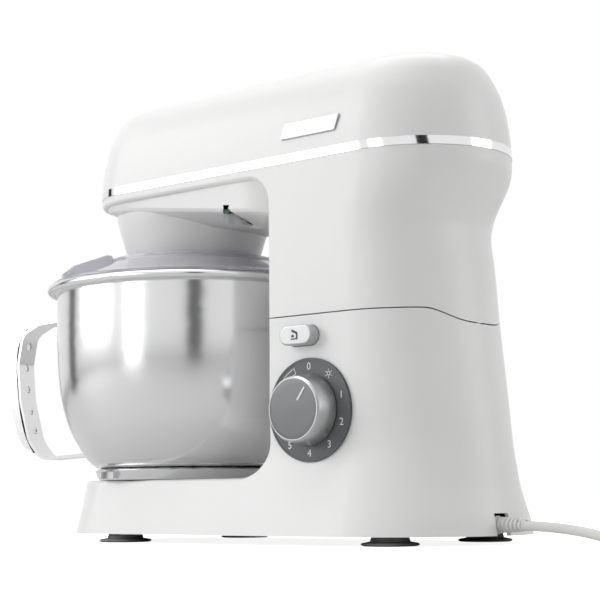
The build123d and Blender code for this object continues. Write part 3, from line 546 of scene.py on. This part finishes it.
def pulseMark():
    start, end, steps = pulseSign["from"], pulseSign["to"], pulseSign["steps"]
    inner, outer = pulseSign["ends"]
    shapes = []
    for radius in pulseSign["radii"]:
        low, high = radius - pulseSign["stroke"] / 2, radius + pulseSign["stroke"] / 2
        sweep = [start + (end - start) * k / steps for k in range(steps + 1)]
        shapes.append([aroundKnob(low, d) for d in sweep] + [aroundKnob(high, d) for d in sweep[::-1]])
    for degrees in (start, end):
        corners = ((inner, 0), (outer, 0), (outer, 0.8), (inner, 0.9))
        shapes.append([aroundKnob(r, degrees + d) for r, d in corners])
    y = (dial["faceY"] + dial["proud"]) * mm
    return flatShape("pulseMark", shapes, y, dial["print"], "stand", "print_white")


lampMark()
pulseMark()
pointer = {"angle": 36, "start": 7.0, "end": 17.4, "width": 1.3, "back": -85.0, "raised": 0.62}
aim = math.radians(pointer["angle"])
ray = Vector((math.sin(aim), math.cos(aim)))
hub = Vector((knobAxis.x, knobAxis.z))
flatShape("knobPointer", [stroke(hub + ray * pointer["start"] * mm, hub + ray * pointer["end"] * mm,
                                 pointer["width"])],
          pointer["back"] * mm, pointer["raised"], "knob", "print_white")
print("dial ready")


# Sign on the release button: a mixer with its head up
sign = {"x": 166.0, "z": 140.6, "y": -74.97, "size": 1.0, "print": 0.1}


def signPoints(points):
    size = sign["size"]
    return [(bowlX + (sign["x"] + x * size) * mm, (sign["z"] + z * size) * mm) for x, z in points]


flatShape("buttonSign", [
    signPoints([(-3.4, -3.2), (2.6, -3.2), (2.6, -2.3), (-3.4, -2.3)]),
    signPoints([(1.2, -2.4), (2.6, -2.4), (2.6, 0.6), (1.2, 0.6)]),
    signPoints([(2.8, 0.5), (2.2, 1.9), (-2.6, 3.9), (-3.1, 2.5), (1.6, 0.3)]),
    signPoints([(-3.2, -1.6), (-0.4, -1.6), (-0.9, 0.2), (-2.7, 0.2)]),
], sign["y"] * mm, sign["print"], "button", "print_dark")
print("button ready")


# Floor and light
# The floor glows for the viewer only, so that it stays white without lighting the underside
studio = {"floor": 12.0, "glow": 0.9, "key": 22.0, "front": 4.0, "top": 20.0, "back": 10.0,
          "sky": 0.4, "lowSky": 0.62, "mirrored": 1.2, "seen": 1.0}
floorMesh = bpy.data.meshes.new("floor")
half = studio["floor"]
floorMesh.from_pydata([(-half, -half, 0), (half, -half, 0), (half, half, 0), (-half, half, 0)], [],
                      [(0, 1, 2, 3)])
floor = bpy.data.objects.new("floor", floorMesh)
bpy.context.scene.collection.objects.link(floor)
floor.location.z = -0.0002
floorPaint = bpy.data.materials.new("floorPaint")
floorPaint.use_nodes = True
floorPaint.node_tree.nodes["Principled BSDF"].inputs["Base Color"].default_value = (0.72, 0.72, 0.72, 1)
floorPaint.node_tree.nodes["Principled BSDF"].inputs["Roughness"].default_value = 0.7
floorPaint.node_tree.nodes["Principled BSDF"].inputs["Emission Color"].default_value = (1, 1, 1, 1)
floorTree = floorPaint.node_tree
floorPath = floorTree.nodes.new("ShaderNodeLightPath")
floorGlow = mathNode(floorTree, "MULTIPLY", floorPath.outputs["Is Camera Ray"], studio["glow"])
floorTree.links.new(floorGlow, floorTree.nodes["Principled BSDF"].inputs["Emission Strength"])
floorMesh.materials.append(floorPaint)


def panel(name, place, target, size, power):
    light = bpy.data.lights.new(name, "AREA")
    light.shape = "RECTANGLE"
    light.size, light.size_y = size
    light.energy = power
    lamp = bpy.data.objects.new(name, light)
    lamp.location = place
    lamp.rotation_euler = (Vector(target) - Vector(place)).to_track_quat("-Z", "Y").to_euler()
    bpy.context.scene.collection.objects.link(lamp)
    return lamp


panel("keyPanel", (-1.5, -1.5, 1.1), (0, 0, 0.16), (1.3, 1.6), studio["key"])
panel("frontPanel", (-0.3, -2.2, 0.6), (0, 0, 0.16), (0.6, 1.4), studio["front"])
panel("topPanel", (-0.2, 0.1, 2.0), (0, 0, 0.2), (2.0, 1.6), studio["top"])
panel("backPanel", (2.0, 0.9, 0.9), (0.1, 0, 0.16), (1.2, 1.6), studio["back"])


def darkCard(name, corners):
    mesh = bpy.data.meshes.new(name)
    mesh.from_pydata(corners, [], [(0, 1, 2, 3)])
    card = bpy.data.objects.new(name, mesh)
    bpy.context.scene.collection.objects.link(card)
    card.visible_camera = False
    card.visible_shadow = False
    card.visible_diffuse = False
    mesh.materials.append(cardPaint)
    return card


cardPaint = bpy.data.materials.new("cardPaint")
cardPaint.use_nodes = True
cardPaint.node_tree.nodes["Principled BSDF"].inputs["Base Color"].default_value = (0.01, 0.01, 0.01, 1)
cardPaint.node_tree.nodes["Principled BSDF"].inputs["Roughness"].default_value = 0.9
darkCard("leftCard", [(-1.5, -0.55, 0), (-1.5, -0.25, 0), (-1.5, -0.25, 1.2), (-1.5, -0.55, 1.2)])
darkCard("rightCard", [(1.2, -1.6, 0), (1.5, -1.3, 0), (1.5, -1.3, 1.3), (1.2, -1.6, 1.3)])

world = bpy.data.worlds.new("studio")
world.use_nodes = True
tree = world.node_tree
seen = tree.nodes["Background"]
seen.inputs["Color"].default_value = (1, 1, 1, 1)
seen.inputs["Strength"].default_value = studio["seen"]
lighting = tree.nodes.new("ShaderNodeBackground")
lighting.inputs["Strength"].default_value = studio["sky"]
direction = tree.nodes.new("ShaderNodeTexCoord")
parts = tree.nodes.new("ShaderNodeSeparateXYZ")
ramp = tree.nodes.new("ShaderNodeValToRGB")
ramp.color_ramp.elements[0].position = 0.35
ramp.color_ramp.elements[0].color = (*[studio["lowSky"]] * 3, 1)
ramp.color_ramp.elements[1].position = 0.75
ramp.color_ramp.elements[1].color = (1, 1, 1, 1)
lift = tree.nodes.new("ShaderNodeMath")
lift.operation = "MULTIPLY_ADD"
lift.inputs[1].default_value = 0.5
lift.inputs[2].default_value = 0.5
tree.links.new(direction.outputs["Generated"], parts.inputs[0])
tree.links.new(parts.outputs["Z"], lift.inputs[0])
tree.links.new(lift.outputs[0], ramp.inputs[0])
tree.links.new(ramp.outputs[0], lighting.inputs["Color"])
path = tree.nodes.new("ShaderNodeLightPath")
choose = tree.nodes.new("ShaderNodeMixShader")
tree.links.new(path.outputs["Is Camera Ray"], choose.inputs[0])
mirrored = tree.nodes.new("ShaderNodeBackground")
mirrored.inputs["Strength"].default_value = studio["mirrored"]
reflect = tree.nodes.new("ShaderNodeMixShader")
tree.links.new(path.outputs["Is Glossy Ray"], reflect.inputs[0])
tree.links.new(lighting.outputs[0], reflect.inputs[1])
tree.links.new(mirrored.outputs[0], reflect.inputs[2])
tree.links.new(reflect.outputs[0], choose.inputs[1])
tree.links.new(seen.outputs[0], choose.inputs[2])
tree.links.new(choose.outputs[0], tree.nodes["World Output"].inputs[0])
bpy.context.scene.world = world
bpy.context.scene.view_settings.view_transform = "Standard"
print("studio ready")
